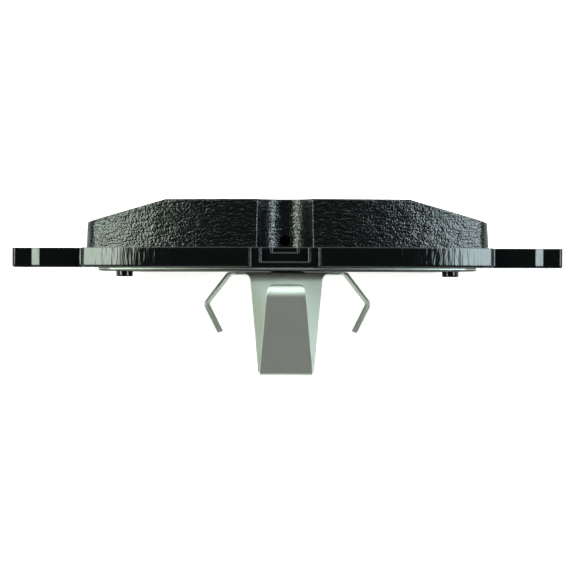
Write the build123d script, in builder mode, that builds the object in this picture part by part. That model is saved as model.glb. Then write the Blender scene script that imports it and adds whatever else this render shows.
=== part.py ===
from build123d import *

import os
from math import cos, radians, sin, sqrt, tan

# Inner disc brake pad with a piston clip, in millimetres.
# +X runs along the pad, +Y points at the disc, +Z points away from the wheel axis.
# The origin is on the friction face, on the axis of the piston.
# "Depth" is the distance behind the friction face, so a point at depth d has y = -d.

# Whole pad
pad_length = 155.1
pad_top = 32.0
plate_arc_radius = 150.0
disc_axis_z = pad_top - plate_arc_radius

# Friction material: friction layer, underlayer and bond film lie on the plate
friction_layer_thickness = 9.6
underlayer_thickness = 3.6
bond_film_thickness = 0.1
friction_length = 112.6
friction_arc_radius = 148.6
friction_draft = 2.5
friction_corner_radius = 4.4
friction_side_bottom = -2.0
friction_lower_half = 45.8
friction_lower_z = -31.4
friction_lower_middle = -24.0
chamfer_start = 34.0
chamfer_run = 22.0
chamfer_drop = 6.15

# Backing plate
plate_thickness = 5.5
shoulder_half = 57.2
shoulder_radius = 0.9
ear_top = 15.0
ear_bottom = -1.5
ear_step_start = 69.6
ear_step_run = 2.4
ear_step_angle = 20.0
ear_end_radius = 1.2
ear_root_radius = 1.5
ear_root_half = 56.0
plate_lower_half = 47.2
plate_lower_z = -33.05
plate_lower_middle = -25.4
lower_corner_radius = 5.0
die_roll_radius = 0.6
key_hole_radius = 4.5
key_hole_places = [(-32, 5), (32, 5), (-17, -15), (17, -15)]

# Wear sensor recess, notch and bore, a little to the left of the middle
sensor_x = -0.7
recess_radius = 8.15
recess_depth = 5.5
recess_edge_radius = 0.7
bore_radius = 1.5
bore_depth = 11.4
bore_length = 14.0
# Each notch step: half width, floor below the top of the arc, depth of cut into the plate
notch_steps = [(9.7, 1.4, 5.5), (6.9, 3.6, 4.1), (3.8, 6.0, 1.5)]
notch_corner_radius = 0.6

# Locating pegs, pressed out of the plate
peg_radius = 2.4
peg_height = 2.5
peg_x = 46.7
peg_z = 2.0
peg_edge_radius = 0.3

# Shim, a steel sheet with rubber on both sides
shim_inner_thickness = 0.2
shim_steel_thickness = 0.4
shim_outer_thickness = 0.3
shim_arc_radius = 148.4
shim_half = 53.0
shim_corner_radius = 7.0
shim_lower_half = 43.5
shim_lower_z = -29.8
shim_lower_middle = -22.8
shim_peg_clearance = 0.3

# Piston clip, bent from one spring steel strip
clip_thickness = 0.7
clip_base_depth = 20.0
clip_base_half = 15.9
clip_base_top = 11.6
clip_base_bottom = -9.5
clip_base_radius = 2.0
clip_split_gap = 0.05
clip_middle = clip_base_depth + clip_thickness / 2

# Side fingers: centre line as (x, depth), with a bend at the root and one at the grip.
# They lean, so that their lower edges stand closer together, and the base's sides lean with them.
finger_top = 6.5
finger_bottom = -6.5
finger_lean = 2.5
finger_radii = [0.9, 1.4]
finger_points = [
    (clip_base_half + clip_split_gap, clip_middle),
    (16.9, clip_middle),
    (23.6, 29.0),
    (19.5, 37.2),
]

# Tongue: the leaf goes out along the piston axis, the return leg comes back above it
tongue_x = -0.3
leaf_flare_half = 12.0
leaf_root_half = 10.35
leaf_fold_half = 7.95
leaf_corner_depth = 47.9
leaf_radii = [0.9, 0.95, 0.95]
fold_half = 7.4
fold_depth = 48.75
fold_lower_z = 14.3
fold_upper_z = 16.4
return_slope = 0.346
split_depth = 47.7
knee_half = 5.5
knee_start_depth = 27.05
knee_depth = 25.46
knee_radius = 4.8
lip_half = 5.2
lip_corner_radius = 1.9
lip_drop = 0.85
lip_reach = 1.86

# Rivets that hold the clip through the shim
rivet_upper_z = 6.0
rivet_lower_z = -4.2
rivet_radius = 2.0
rivet_sunk_radius = 3.6
rivet_sunk_depth = 1.6
rivet_head_radius = 3.3
rivet_head_height = 1.4
seat_radius = 4.0
seat_slope = 0.8

friction_thickness = friction_layer_thickness + underlayer_thickness + bond_film_thickness
plate_back = friction_thickness + plate_thickness
shim_steel_front = plate_back + shim_inner_thickness
shim_outer_front = shim_steel_front + shim_steel_thickness
shim_back = shim_outer_front + shim_outer_thickness
clip_base_back = clip_base_depth + clip_thickness
seat_back = shim_back + clip_thickness
rivet_places = [(0, rivet_upper_z), (0, rivet_lower_z)]
peg_places = [(-peg_x, peg_z), (peg_x, peg_z)]
wide = 2 * pad_length

# Planes for the clip's sections: their second axis is the depth
top_view = Plane(origin=(0, 0, 0), x_dir=(1, 0, 0), z_dir=(0, 0, -1))
side_view = Plane(origin=(0, 0, 0), x_dir=(0, 0, 1), z_dir=(1, 0, 0))


def at_depth(depth):
    """Plane behind the friction face: local x is +X, local y is +Z, normal towards the clip."""
    return Plane.XZ.offset(depth)


def arc_height(arc_radius, x):
    """Height of an arc about the disc axis at a distance x from the middle."""
    return disc_axis_z + sqrt(arc_radius ** 2 - x ** 2)


def outline(arc_radius, side, lower_middle):
    """Face with a top arc about the disc axis, mirrored sides and a hollow lower arc."""
    first_x, first_z = side[0]
    last_x, last_z = side[-1]
    with BuildSketch() as face:
        with BuildLine():
            ThreePointArc((-first_x, first_z), (0, disc_axis_z + arc_radius), (first_x, first_z))
            Polyline(*side)
            Polyline(*[(-x, z) for x, z in side])
            ThreePointArc((last_x, last_z), (0, lower_middle), (-last_x, last_z))
        make_face()
    return face.sketch


def corners(face, x, z):
    """The mirrored pair of corners of a flat outline that stand at (x, z) and (-x, z)."""
    near = 0.05
    level = face.vertices().filter_by_position(Axis.Y, z - near, z + near)
    right = level.filter_by_position(Axis.X, x - near, x + near)
    left = level.filter_by_position(Axis.X, -x - near, -x + near)
    return right + left


def friction_outline(depth):
    """Outline of the friction material, which gets smaller towards the disc by the draft."""
    half = friction_length / 2
    shoulder = arc_height(friction_arc_radius, half)
    lower = (friction_lower_half, friction_lower_z)
    inset = (friction_thickness - depth) * tan(radians(friction_draft))
    with BuildSketch(at_depth(depth)) as face:
        add(outline(friction_arc_radius, [(half, shoulder), (half, friction_side_bottom), lower],
                    friction_lower_middle))
        fillet(corners(face, half, shoulder), friction_corner_radius)
        fillet(corners(face, *lower), lower_corner_radius)
        if inset > 0:
            offset(amount=-inset, kind=Kind.INTERSECTION)
    return face.sketch


def recess_outline(depth):
    """Round outline of the recess that lets the wear sensor in past the friction material."""
    middle = disc_axis_z + friction_arc_radius - recess_depth + recess_radius
    with BuildSketch(at_depth(depth)) as face:
        with Locations((sensor_x, middle)):
            Circle(recess_radius)
    return face.sketch


def circles(depth, radius, places):
    """Circles of one radius on a plane behind the friction face."""
    with BuildSketch(at_depth(depth)) as face:
        with Locations(*places):
            Circle(radius)
    return face.sketch


def recess_rims(part, thickness):
    """The two edges, right through a layer, where the recess meets the top of the material."""
    middle = part.edges().filter_by_position(Axis.X, sensor_x - recess_radius, sensor_x + recess_radius)
    high = middle.filter_by_position(Axis.Z, pad_top - recess_depth, pad_top)
    return high.filter_by(lambda edge: edge.bounding_box().size.Y > thickness / 2)


def plate_outline():
    """Outline of the backing plate: a body between two arcs, with an ear at each end."""
    half = pad_length / 2
    shoulder = arc_height(plate_arc_radius, shoulder_half)
    ear_step_end = ear_step_start + ear_step_run
    ear_tip_top = ear_top - ear_step_run * tan(radians(ear_step_angle))
    side = [
        (shoulder_half, shoulder),
        (shoulder_half, ear_top),
        (ear_step_start, ear_top),
        (ear_step_end, ear_tip_top),
        (half, ear_tip_top),
        (half, ear_bottom),
        (ear_root_half, ear_bottom),
        (plate_lower_half, plate_lower_z),
    ]
    with BuildSketch(at_depth(friction_thickness)) as face:
        add(outline(plate_arc_radius, side, plate_lower_middle))
        fillet(corners(face, shoulder_half, shoulder), shoulder_radius)
        fillet(corners(face, shoulder_half, ear_top), ear_root_radius)
        fillet(corners(face, ear_root_half, ear_bottom), ear_root_radius)
        fillet(corners(face, half, ear_tip_top), ear_end_radius)
        fillet(corners(face, half, ear_bottom), ear_end_radius)
        fillet(corners(face, plate_lower_half, plate_lower_z), lower_corner_radius)
    return face.sketch


def notch_outline(half_width, floor):
    """Square notch in the middle of the plate's top edge, with rounded inner corners."""
    top = pad_top + notch_corner_radius
    floor_z = pad_top - floor
    with BuildSketch(at_depth(friction_thickness)) as face:
        with Locations((sensor_x, (top + floor_z) / 2)):
            Rectangle(2 * half_width, top - floor_z)
        fillet(face.vertices().group_by(Axis.Z)[0], notch_corner_radius)
    return face.sketch


def shim_outline(depth):
    """Outline of the shim: it leaves a rim of the plate bare and lets the pegs through."""
    shoulder = arc_height(shim_arc_radius, shim_half)
    lower = (shim_lower_half, shim_lower_z)
    with BuildSketch(at_depth(depth)) as face:
        add(outline(shim_arc_radius, [(shim_half, shoulder), (shim_half, friction_side_bottom), lower],
                    shim_lower_middle))
        fillet(corners(face, shim_half, shoulder), shim_corner_radius)
        fillet(corners(face, *lower), lower_corner_radius)
        with Locations(*peg_places):
            Circle(peg_radius + shim_peg_clearance, mode=Mode.SUBTRACT)
        with Locations(*rivet_places):
            Circle(rivet_radius, mode=Mode.SUBTRACT)
    return face.sketch


def turned(profile, place):
    """Face of a (radius, depth) profile beside an axis along Y through a place on the pad."""
    x, z = place
    with BuildSketch(Plane(origin=(x, 0, z), x_dir=(1, 0, 0), z_dir=(0, 0, -1))) as face:
        with BuildLine():
            Polyline(*profile, close=True)
        make_face()
    return face.sketch


def axis_at(place):
    """Axis along Y through a place on the pad."""
    x, z = place
    return Axis((x, 0, z), (0, 1, 0))


def strip(plane, points, radii):
    """Section of the clip's sheet along a bent centre line."""
    with BuildSketch(plane) as section:
        with BuildLine():
            FilletPolyline(*points, radius=radii)
        trace(line_width=clip_thickness)
    return section.sketch


def return_leg_z(depth):
    """Height of the return leg's centre line at a depth, between the fold and the knee."""
    return fold_upper_z + return_slope * (fold_depth - depth)


def base_half_at(z):
    """Half width of the clip base at a height: its sides lean with the fingers."""
    return clip_base_half - (finger_top - z) * tan(radians(finger_lean))


def tongue_plan(side, tip_radius=0):
    """Plan of a stretch of the tongue, from half widths at depths; its tip can be rounded."""
    with BuildSketch(top_view) as face:
        with BuildLine():
            right = [(tongue_x + half, depth) for half, depth in side]
            left = [(tongue_x - half, depth) for half, depth in side]
            Polyline(*right, *reversed(left), close=True)
        make_face()
        if tip_radius > 0:
            fillet(face.vertices().group_by(Axis.Y)[0], tip_radius)
    return face.sketch


# Friction layer: the part that wears, with sloped ends and a recess for the sensor
with BuildPart() as friction_block:
    towards_disc = (0, 1, 0)
    extrude(friction_outline(friction_layer_thickness), amount=friction_layer_thickness,
            dir=towards_disc, taper=friction_draft)
    wedge_end = chamfer_start + 2 * chamfer_run
    with BuildSketch(Plane.XY):
        with BuildLine():
            Polyline((chamfer_start, 0), (wedge_end, 0), (wedge_end, -2 * chamfer_drop), close=True)
        make_face()
        mirror(about=Plane.YZ)
    extrude(amount=pad_length, both=True, mode=Mode.SUBTRACT)
    extrude(recess_outline(0), amount=friction_layer_thickness, mode=Mode.SUBTRACT)
    fillet(recess_rims(friction_block, friction_layer_thickness), recess_edge_radius)
friction_block.part.label = "friction_block"

# Underlayer: bonds the friction layer to the plate and fills the plate's keying holes
with BuildPart() as underlayer:
    underlayer_back = friction_layer_thickness + underlayer_thickness
    extrude(friction_outline(underlayer_back), amount=underlayer_thickness,
            dir=towards_disc, taper=friction_draft)
    extrude(recess_outline(friction_layer_thickness), amount=underlayer_thickness,
            mode=Mode.SUBTRACT)
    fillet(recess_rims(underlayer, underlayer_thickness), recess_edge_radius)
    bore_bottom = disc_axis_z + friction_arc_radius - recess_depth - bore_length
    with BuildSketch(Plane.XY.offset(bore_bottom)):
        with Locations((sensor_x, -bore_depth)):
            Circle(bore_radius)
    extrude(amount=2 * bore_length, mode=Mode.SUBTRACT)
    extrude(circles(underlayer_back, key_hole_radius, key_hole_places),
            amount=plate_back - underlayer_back)
underlayer.part.label = "underlayer"

# Bond film: glues the underlayer to the plate
with BuildPart() as bond_film:
    extrude(friction_outline(friction_thickness), amount=bond_film_thickness,
            dir=towards_disc, taper=friction_draft)
    extrude(recess_outline(underlayer_back), amount=bond_film_thickness, mode=Mode.SUBTRACT)
    fillet(recess_rims(bond_film, bond_film_thickness), recess_edge_radius)
    extrude(circles(underlayer_back, key_hole_radius, key_hole_places),
            amount=bond_film_thickness, mode=Mode.SUBTRACT)
bond_film.part.label = "bond_film"

# Rivets: sunk heads under the friction material, domed heads on the clip
rivet_neck = friction_thickness + rivet_sunk_depth
rivet_profile = [
    (0, friction_thickness),
    (rivet_sunk_radius, friction_thickness),
    (rivet_radius, rivet_neck),
    (rivet_radius, seat_back),
    (rivet_head_radius, seat_back),
    (0.92 * rivet_head_radius, seat_back + 0.45 * rivet_head_height),
    (0.7 * rivet_head_radius, seat_back + 0.8 * rivet_head_height),
    (0.38 * rivet_head_radius, seat_back + 0.97 * rivet_head_height),
    (0, seat_back + rivet_head_height),
]
with BuildPart() as clip_rivets:
    for place in rivet_places:
        revolve(turned(rivet_profile, place), axis=axis_at(place))
clip_rivets.part.label = "clip_rivets"

# Backing plate: stamped steel with ears, a stepped notch, pegs, keying holes and rivet holes
with BuildPart() as backing_plate:
    extrude(plate_outline(), amount=plate_thickness)
    back_rim = backing_plate.faces().sort_by(Axis.Y)[0].outer_wire().edges()
    fillet(back_rim, die_roll_radius)
    for half_width, floor, cut in notch_steps:
        extrude(notch_outline(half_width, floor), amount=cut, mode=Mode.SUBTRACT)
    extrude(circles(plate_back, peg_radius, peg_places), amount=peg_height)
    fillet(backing_plate.faces().sort_by(Axis.Y)[0:2].edges(), peg_edge_radius)
    extrude(circles(friction_thickness, key_hole_radius, key_hole_places),
            amount=plate_thickness, mode=Mode.SUBTRACT)
    rivet_hole_profile = [
        (0, friction_thickness),
        (rivet_sunk_radius, friction_thickness),
        (rivet_radius, rivet_neck),
        (rivet_radius, shim_back),
        (0, shim_back),
    ]
    for place in rivet_places:
        revolve(turned(rivet_hole_profile, place), axis=axis_at(place), mode=Mode.SUBTRACT)
backing_plate.part.label = "backing_plate"

# Shim: a steel core with a rubber skin on each side
with BuildPart() as shim_inner_rubber:
    extrude(shim_outline(plate_back), amount=shim_inner_thickness)
shim_inner_rubber.part.label = "shim_inner_rubber"

with BuildPart() as shim_steel_core:
    extrude(shim_outline(shim_steel_front), amount=shim_steel_thickness)
shim_steel_core.part.label = "shim_steel_core"

with BuildPart() as shim_outer_rubber:
    extrude(shim_outline(shim_outer_front), amount=shim_outer_thickness)
shim_outer_rubber.part.label = "shim_outer_rubber"

# Clip base: flat sheet that stands off the shim on two dished rivet seats
with BuildPart() as clip_base:
    seat_outer = seat_radius + seat_slope
    seat_profile = [
        (rivet_radius, shim_back),
        (seat_radius, shim_back),
        (seat_outer, clip_base_depth),
        (seat_outer, clip_base_back),
        (seat_radius, seat_back),
        (rivet_radius, seat_back),
    ]
    with BuildSketch(at_depth(clip_base_depth)) as base_face:
        with BuildLine():
            upper = base_half_at(clip_base_top)
            lower = base_half_at(clip_base_bottom)
            Polyline((-lower, clip_base_bottom), (lower, clip_base_bottom),
                     (upper, clip_base_top), (-upper, clip_base_top), close=True)
        make_face()
        fillet(base_face.vertices(), clip_base_radius)
        with Locations(*rivet_places):
            Circle(seat_outer, mode=Mode.SUBTRACT)
    extrude(amount=clip_thickness)
    for place in rivet_places:
        revolve(turned(seat_profile, place), axis=axis_at(place))
clip_base.part.label = "clip_base"

# Side fingers: they bulge outwards and grip the bore of the piston
with BuildPart() as clip_finger_right:
    finger_rise = (finger_top - finger_bottom) / cos(radians(finger_lean))
    down_finger = (-sin(radians(finger_lean)), 0, -cos(radians(finger_lean)))
    extrude(strip(top_view.offset(-finger_top), finger_points, finger_radii),
            amount=finger_rise, dir=down_finger)
clip_finger_right.part.label = "clip_finger_right"

with BuildPart() as clip_finger_left:
    mirror(clip_finger_right.part, about=Plane.YZ)
clip_finger_left.part.label = "clip_finger_left"

# Tongue leaf: bends off the base, runs out along the piston axis and turns back at its end
leaf_points = [
    (clip_base_top, clip_middle),
    (13.4, clip_middle),
    (fold_lower_z, fold_depth),
    (fold_upper_z, fold_depth),
    (return_leg_z(split_depth), split_depth),
]
with BuildPart() as clip_tongue_leaf:
    extrude(strip(side_view, leaf_points, leaf_radii), amount=clip_base_half, both=True)
    leaf_side = [
        (leaf_flare_half, 0),
        (leaf_flare_half, clip_base_back),
        (leaf_root_half, clip_base_back),
        (leaf_fold_half, leaf_corner_depth),
        (fold_half, leaf_corner_depth + clip_thickness),
        (fold_half, wide),
    ]
    leaf_plan = tongue_plan(leaf_side)
    extrude(leaf_plan, amount=wide, both=True, mode=Mode.INTERSECT)
clip_tongue_leaf.part.label = "clip_tongue_leaf"

# Tongue return leg: comes back above the leaf and ends in a lip bent inwards
return_start = split_depth - clip_split_gap
knee_z = return_leg_z(knee_depth)
lip_depth = knee_depth - lip_reach
return_points = [
    (return_leg_z(return_start), return_start),
    (knee_z, knee_depth),
    (knee_z - lip_drop, lip_depth),
]
with BuildPart() as clip_tongue_return:
    extrude(strip(side_view, return_points, knee_radius), amount=clip_base_half, both=True)
    return_side = [
        (lip_half, lip_depth - clip_thickness / 2),
        (knee_half, knee_start_depth),
        (fold_half, leaf_corner_depth),
    ]
    return_plan = tongue_plan(return_side, lip_corner_radius)
    extrude(return_plan, amount=wide, both=True, mode=Mode.INTERSECT)
clip_tongue_return.part.label = "clip_tongue_return"

os.makedirs("parts", exist_ok=True)
pieces = [
    friction_block,
    underlayer,
    bond_film,
    backing_plate,
    shim_inner_rubber,
    shim_steel_core,
    shim_outer_rubber,
    clip_rivets,
    clip_base,
    clip_finger_left,
    clip_finger_right,
    clip_tongue_leaf,
    clip_tongue_return,
]
for piece in pieces:
    export_step(piece.part, f"parts/{piece.part.label}.step")
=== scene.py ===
from math import atan2, ceil, cos, pi, radians, sin, sqrt, tan

import bmesh
import bpy
from bpy.props import FloatProperty, FloatVectorProperty, PointerProperty
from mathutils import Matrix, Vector, noise


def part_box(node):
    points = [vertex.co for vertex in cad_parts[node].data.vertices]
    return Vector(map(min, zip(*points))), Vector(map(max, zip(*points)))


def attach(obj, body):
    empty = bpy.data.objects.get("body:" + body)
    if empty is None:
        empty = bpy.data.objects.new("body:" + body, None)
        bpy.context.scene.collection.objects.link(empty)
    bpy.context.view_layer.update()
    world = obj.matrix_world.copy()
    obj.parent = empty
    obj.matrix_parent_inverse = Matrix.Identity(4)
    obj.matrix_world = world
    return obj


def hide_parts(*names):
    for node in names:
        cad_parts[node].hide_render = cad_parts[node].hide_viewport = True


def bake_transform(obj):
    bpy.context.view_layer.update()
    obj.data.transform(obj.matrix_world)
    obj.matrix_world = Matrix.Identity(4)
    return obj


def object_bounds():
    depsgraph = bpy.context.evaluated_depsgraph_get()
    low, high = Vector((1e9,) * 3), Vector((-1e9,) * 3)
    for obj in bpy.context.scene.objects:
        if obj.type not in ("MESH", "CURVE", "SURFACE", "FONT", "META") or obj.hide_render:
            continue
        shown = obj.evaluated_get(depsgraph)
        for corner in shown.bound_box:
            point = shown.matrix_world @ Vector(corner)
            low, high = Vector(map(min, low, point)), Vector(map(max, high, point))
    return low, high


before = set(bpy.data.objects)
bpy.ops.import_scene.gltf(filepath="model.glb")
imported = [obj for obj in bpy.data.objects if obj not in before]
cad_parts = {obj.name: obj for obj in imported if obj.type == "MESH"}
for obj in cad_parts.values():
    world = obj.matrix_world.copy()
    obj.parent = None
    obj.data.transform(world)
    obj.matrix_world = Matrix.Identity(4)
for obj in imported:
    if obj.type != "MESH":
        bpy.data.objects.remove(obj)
CAD_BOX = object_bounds()

bl_info = {
    "name": "Brake Pad Looks",
    "version": (1, 0, 0),
    "blender": (4, 5, 0),
    "location": "3D View > Sidebar > Brake Pad",
    "description": "Gives a packed disc brake pad its painted, pressed and sprung surfaces",
    "category": "Object",
}

# The frame: +X runs along the pad, +Y points at the disc, +Z points away from the wheel axis.
# "Depth" is the distance behind the friction face, so a point at depth d has y = -d.
MM = 0.001


def linear(hex_colour):
    """Linear red, green, blue and alpha of an sRGB hex colour."""
    channels = [int(hex_colour[i:i + 2], 16) / 255 for i in (1, 3, 5)]
    return [c / 12.92 if c <= 0.04045 else ((c + 0.055) / 1.055) ** 2.4 for c in channels] + [1.0]


def node_faces(node):
    """Depths in millimetres of a CAD node's front and back, seen from the disc."""
    low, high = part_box(node)
    return -high.y / MM, -low.y / MM


# Friction material, in millimetres
FRICTION_BACK = node_faces("bond_film")[1]
LAYER_JOINT = node_faces("friction_block")[1]
UNDERLAYER_BACK = node_faces("bond_film")[0]
PLATE_BACK = node_faces("shim_inner_rubber")[0]
SHIM_BACK = node_faces("shim_outer_rubber")[1]
DISC_AXIS_Z = -118.0
TOP_RADIUS = 148.6
FRICTION_HALF = 56.3
SIDE_BOTTOM = -2.0
LOWER_CORNER = (45.8, -31.4)
LOWER_MIDDLE = -24.0
SHOULDER_ROUND = 4.4
LOWER_ROUND = 5.0
DRAFT = radians(2.5)
CHAMFER_START = 34.0
CHAMFER_SLOPE = 6.15 / 22.0
SENSOR_X = -0.7
RECESS_RADIUS = 8.15
RECESS_DEPTH = 5.5
RECESS_RIM = 0.7
BORE_DEPTH = 11.4
BORE_RADIUS = 1.5
BORE_BOTTOM, BORE_MOUTH = 11.1, 40.0
KEY_RADIUS, KEY_ROOT = 4.5, 1.0
KEY_PLACES = [(-32, 5), (32, 5), (-17, -15), (17, -15)]

# Piston clip, in millimetres
SHEET = 0.7
BASE_FRONT, BASE_BACK = 20.0, 20.7
BASE_HALF = 15.925
BASE_LOW, BASE_TOP = -9.5, 11.6
BASE_ROUND = 2.0
SHEET_MIDDLE = (BASE_FRONT + BASE_BACK) / 2
SEAT_DROP = BASE_FRONT - SHIM_BACK
FINGER_HALF = 6.5
FINGER_LEAN = tan(radians(2.5))
FINGER_LINE = [(BASE_HALF, SHEET_MIDDLE), (16.9, SHEET_MIDDLE), (23.6, 29.0), (19.5, 37.2)]
FINGER_ROUNDS = [0.9, 1.4]
TONGUE_X = -0.3
FOLD_SPLIT = 47.675
FOLD_MIDDLE = 15.35
LEAF_LINE = [(BASE_TOP, SHEET_MIDDLE), (13.4, SHEET_MIDDLE), (14.3, 48.75), (16.4, 48.75)]
LEAF_ROUNDS = [0.9, 0.95, 0.95]
KNEE = (24.46, 25.46)
LIP_TIP = (23.61, 23.6)
KNEE_ROUND = 4.8
LEAF_NECK_HALF = 12.0
LEAF_ROOT_HALF = 10.35
LEAF_END_HALF = 7.95
LEAF_CORNER = 47.9
LEAF_CORNER_SLOPE = 0.8
LEAF_NECK_TOP = 13.0
FOLD_HALF = 7.4
KNEE_HALF, LIP_HALF = 5.5, 5.2
KNEE_START = 27.05
RIVET_PLACES = [(0, 6.0), (0, -4.2)]
RIVET_SHANK = 2.0
SEAT_OUTER, SEAT_INNER = 4.9, 3.9
HEAD_RADIUS, HEAD_HEIGHT = 3.3, 1.4
SUNK_RADIUS, SUNK_DEPTH = 3.6, 1.6
SUNK_CENTRE = 0.3
HEAD_RIM, HEAD_FULLNESS = 0.25, 0.8
HEAD_BEVEL, HEAD_BEVEL_RISE = 0.15, 0.12

# Mesh of the bent strips: rows this far apart in millimetres, and closer by BEND_FINENESS in a bend
STRIP_STEP, RETURN_STEP = 0.8, 0.5
BEND_FINENESS = 4
COLUMNS = 12
END_ROWS = 5
# An end that used up all of its rounding would shrink the corners of its last row to points.
END_SHARE = 0.999

# A row crosses a crease where this product, in square metres, is passed; float32 noise is smaller
CROSSING = 1e-11
# Edges that turn by more than this stay sharp in the shading
SHARP = radians(50)

# Stage: half the floor's width in metres, the camera's place in millimetres
FLOOR_HALF = 4.0
CAMERA_X, CAMERA_Y = 0.18, -24.5
CAMERA_ROLL = radians(0.14)
SOFT_EDGE = radians(6)

# Light room: the parts of a unit direction, along the frame's axes, between which a light fades
PISTON_END_FADE = (-0.17, 0.02)
DISC_END_FADE = (0.55, 0.85)
TINT_BLEND = 0.1
GLOW_FADE = (0.36, 0.6)
CEILING_FADE = (0.25, 0.93)
WALL_RADIANCE, CEILING_RADIANCE = 0.5, 0.045
DISC_SIDE_FADE = (-0.4, 0.3)
PISTON_SIDE_SHARE = 0.75


class PadSizes(bpy.types.PropertyGroup):
    """Sizes of the friction material's surface."""
    mesh_step: FloatProperty(
        name="Mesh Step", description="Spacing of the friction wall's points",
        default=0.26 * MM, unit="LENGTH")
    lump_size: FloatProperty(
        name="Lump Size", description="Width of the broad unevenness of the moulded wall",
        default=3.2 * MM, unit="LENGTH")
    lump_height: FloatProperty(
        name="Lump Height", description="Height of the broad unevenness",
        default=0.05 * MM, unit="LENGTH")
    pebble_size: FloatProperty(
        name="Pebble Size", description="Width of the grains under the paint",
        default=0.65 * MM, unit="LENGTH")
    pebble_height: FloatProperty(
        name="Pebble Height", description="Height of the grains under the paint",
        default=0.022 * MM, unit="LENGTH")
    edge_round: FloatProperty(
        name="Edge Rounding", description="Radius of the worn edge of the friction face",
        default=0.3 * MM, unit="LENGTH")


class ClipSizes(bpy.types.PropertyGroup):
    """Sizes of the clip's sheet edges."""
    edge_round: FloatProperty(
        name="Edge Rounding", description="Radius left on the sheet's edges by blanking",
        default=0.16 * MM, unit="LENGTH")
    neck_round: FloatProperty(
        name="Neck Rounding", description="Radius between the base and the tongue",
        default=1.4 * MM, unit="LENGTH")
    lip_round: FloatProperty(
        name="Lip Rounding", description="Radius of the corners of the tongue's lip",
        default=1.9 * MM, unit="LENGTH")


class PadColours(bpy.types.PropertyGroup):
    """Colours of the pad's finishes."""
    paint: FloatVectorProperty(
        name="Paint", description="Gloss black paint", subtype="COLOR", size=4,
        default=linear("#050808"))
    friction: FloatVectorProperty(
        name="Friction Material", description="Ground face of the friction material",
        subtype="COLOR", size=4, default=linear("#3A3B3A"))
    fleck: FloatVectorProperty(
        name="Steel Fleck", description="Steel wool fibres cut by grinding", subtype="COLOR",
        size=4, default=linear("#B9AFA2"))
    adhesive: FloatVectorProperty(
        name="Adhesive", description="Cured bond film", subtype="COLOR", size=4,
        default=linear("#15110D"))
    rubber: FloatVectorProperty(
        name="Shim Rubber", description="Nitrile rubber skin of the shim", subtype="COLOR",
        size=4, default=linear("#131514"))
    shim_steel: FloatVectorProperty(
        name="Shim Steel", description="Cut edge of the shim's core", subtype="COLOR", size=4,
        default=linear("#B4B8B0"))
    spring_steel: FloatVectorProperty(
        name="Spring Steel", description="Rolled stainless spring strip", subtype="COLOR",
        size=4, default=linear("#DCDFD6"))
    rivet_steel: FloatVectorProperty(
        name="Rivet Steel", description="Cold headed steel", subtype="COLOR", size=4,
        default=linear("#B4B4AE"))


class StageSettings(bpy.types.PropertyGroup):
    """Floor, light and camera."""
    floor: FloatVectorProperty(
        name="Floor", description="Matte white floor", subtype="COLOR", size=4,
        default=linear("#FBF7F6"))
    floor_glow: FloatProperty(
        name="Floor Glow", description="Brightness that only the camera sees", default=0.8)
    left_light: FloatVectorProperty(
        name="Left Softbox", description="Tint of the left softbox", subtype="COLOR", size=4,
        default=linear("#E9FAEA"))
    right_light: FloatVectorProperty(
        name="Right Softbox", description="Tint of the right softbox", subtype="COLOR", size=4,
        default=linear("#DFF5F9"))
    softbox_angle: FloatProperty(
        name="Softbox Angle", description="Angle of each softbox from the vertical",
        default=radians(48), subtype="ANGLE")
    softbox_half_width: FloatProperty(
        name="Softbox Half Width", description="Half the angle that each softbox takes up",
        default=radians(5), subtype="ANGLE")
    softbox_radiance: FloatProperty(
        name="Softbox Radiance", description="Brightness of each softbox's face", default=13.0)
    back_radiance: FloatProperty(
        name="Back Radiance", description="Brightness of the glow behind the disc side", default=1.6)
    lens: FloatProperty(
        name="Lens", description="Focal length of the camera in millimetres", default=138.0)
    camera_height: FloatProperty(
        name="Camera Height", description="Height of the camera over the piston axis",
        default=635 * MM, unit="LENGTH")


# ---------------------------------------------------------------- materials


def add_node(tree, kind, sockets=None, **settings):
    """Adds a shader node with its settings; each socket gets a value or a link from another."""
    node = tree.nodes.new(kind)
    for name, value in settings.items():
        setattr(node, name, value)
    for name, value in (sockets or {}).items():
        if isinstance(value, bpy.types.NodeSocket):
            tree.links.new(value, node.inputs[name])
        else:
            node.inputs[name].default_value = value
    return node


def fade(tree, value, start, end, low=0.0, high=1.0):
    """Smooth change from low to high while a value goes from start to end."""
    return add_node(tree, "ShaderNodeMapRange", {
        "Value": value, "From Min": start, "From Max": end, "To Min": low, "To Max": high},
        interpolation_type="SMOOTHSTEP").outputs["Result"]


def product(tree, *values):
    """Product of several numbers."""
    result = values[0]
    for value in values[1:]:
        result = add_node(tree, "ShaderNodeMath", {0: result, 1: value}, operation="MULTIPLY").outputs[0]
    return result


def material(build):
    """The node material of a finish, made once; build adds its nodes and returns the shader."""
    name = build.__name__
    made = bpy.data.materials.get(name)
    if made:
        return made
    made = bpy.data.materials.new(name)
    made.use_nodes = True
    made.node_tree.nodes.clear()
    shader = build(made.node_tree)
    add_node(made.node_tree, "ShaderNodeOutputMaterial", {"Surface": shader.outputs[0]})
    return made


def per_mm(spacing):
    """Scale of a texture, in metre coordinates, whose features are a spacing in mm apart."""
    return 1 / (spacing * MM)


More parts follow.
